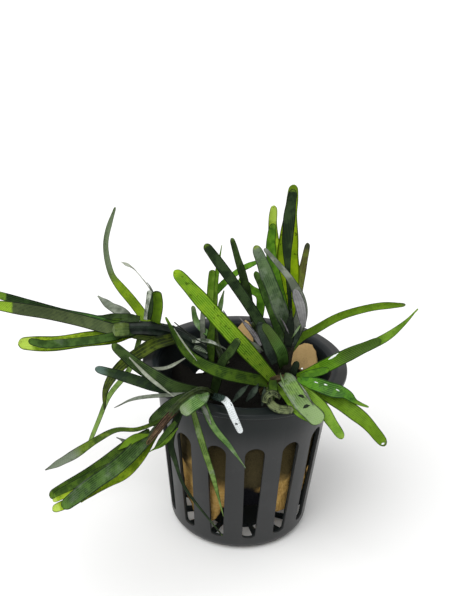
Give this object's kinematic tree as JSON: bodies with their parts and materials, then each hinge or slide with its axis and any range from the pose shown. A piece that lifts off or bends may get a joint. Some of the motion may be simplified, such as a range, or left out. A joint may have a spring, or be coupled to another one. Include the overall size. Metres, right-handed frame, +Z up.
{
  "type": "potted aquarium plant",
  "caption": "Potted eichhornia diversifolia: narrow strap-shaped leaves on creeping stems, rooted in a rock wool plug in a slotted net pot.",
  "frame": {"origin": "centre of the pot's underside, on the solid disc inside the floor slots", "axes": "+Z up along the pot's axis, +X to the right of the front view, -Y towards the viewer"},
  "size_m": [0.1108, 0.0776, 0.0994],
  "materials": {
    "pot": "satin moulded plastic",
    "wool": "damp fibres",
    "green_stem": "wet and smooth",
    "brown_stem": "damp, with dead sheaths",
    "green_leaf": "wet and glossy",
    "bright_leaf": "wet and glossy",
    "dark_leaf": "wet and glossy",
    "pale_leaf": "wet, with a grey sheen",
    "withered_leaf": "withered"
  },
  "bodies": {
    "root": {"net_pot": "pot", "rock_wool": "wool", "left_stem": "green_stem", "front_left_stem": "green_stem", "main_stem": "brown_stem", "front_stem": "brown_stem", "back_stem": "green_stem", "middle_stem": "green_stem", "left_leaf_1": "dark_leaf", "left_leaf_2": "green_leaf", "left_leaf_3": "bright_leaf", "left_leaf_4": "dark_leaf", "left_leaf_5": "pale_leaf", "left_leaf_6": "green_leaf", "left_leaf_7": "green_leaf", "left_leaf_8": "dark_leaf", "left_leaf_9": "bright_leaf", "left_leaf_10": "dark_leaf", "front_left_leaf_1": "pale_leaf", "front_left_leaf_2": "dark_leaf", "front_left_leaf_3": "pale_leaf", "front_left_leaf_4": "bright_leaf", "front_left_leaf_5": "withered_leaf", "front_left_leaf_6": "bright_leaf", "front_left_leaf_7": "dark_leaf", "front_left_leaf_8": "bright_leaf", "front_left_leaf_9": "green_leaf", "front_left_leaf_10": "dark_leaf", "front_left_leaf_11": "pale_leaf", "front_left_leaf_12": "green_leaf", "front_left_leaf_13": "dark_leaf", "front_left_leaf_14": "pale_leaf", "front_left_leaf_15": "dark_leaf", "front_leaf_1": "green_leaf", "front_leaf_2": "bright_leaf", "front_leaf_3": "green_leaf", "front_leaf_4": "bright_leaf", "front_leaf_5": "green_leaf", "front_leaf_6": "green_leaf", "front_leaf_7": "bright_leaf", "front_leaf_8": "pale_leaf", "front_leaf_9": "bright_leaf", "front_leaf_10": "pale_leaf", "main_leaf_1": "bright_leaf", "main_leaf_2": "dark_leaf", "main_leaf_3": "pale_leaf", "main_leaf_4": "pale_leaf", "main_leaf_5": "bright_leaf", "main_leaf_6": "green_leaf", "main_leaf_7": "bright_leaf", "main_leaf_8": "green_leaf", "main_leaf_9": "dark_leaf", "main_leaf_10": "green_leaf", "main_leaf_11": "bright_leaf", "back_leaf_1": "green_leaf", "back_leaf_2": "bright_leaf", "back_leaf_3": "green_leaf", "back_leaf_4": "pale_leaf", "middle_leaf_1": "dark_leaf", "middle_leaf_2": "green_leaf"}
  },
  "joints": []
}
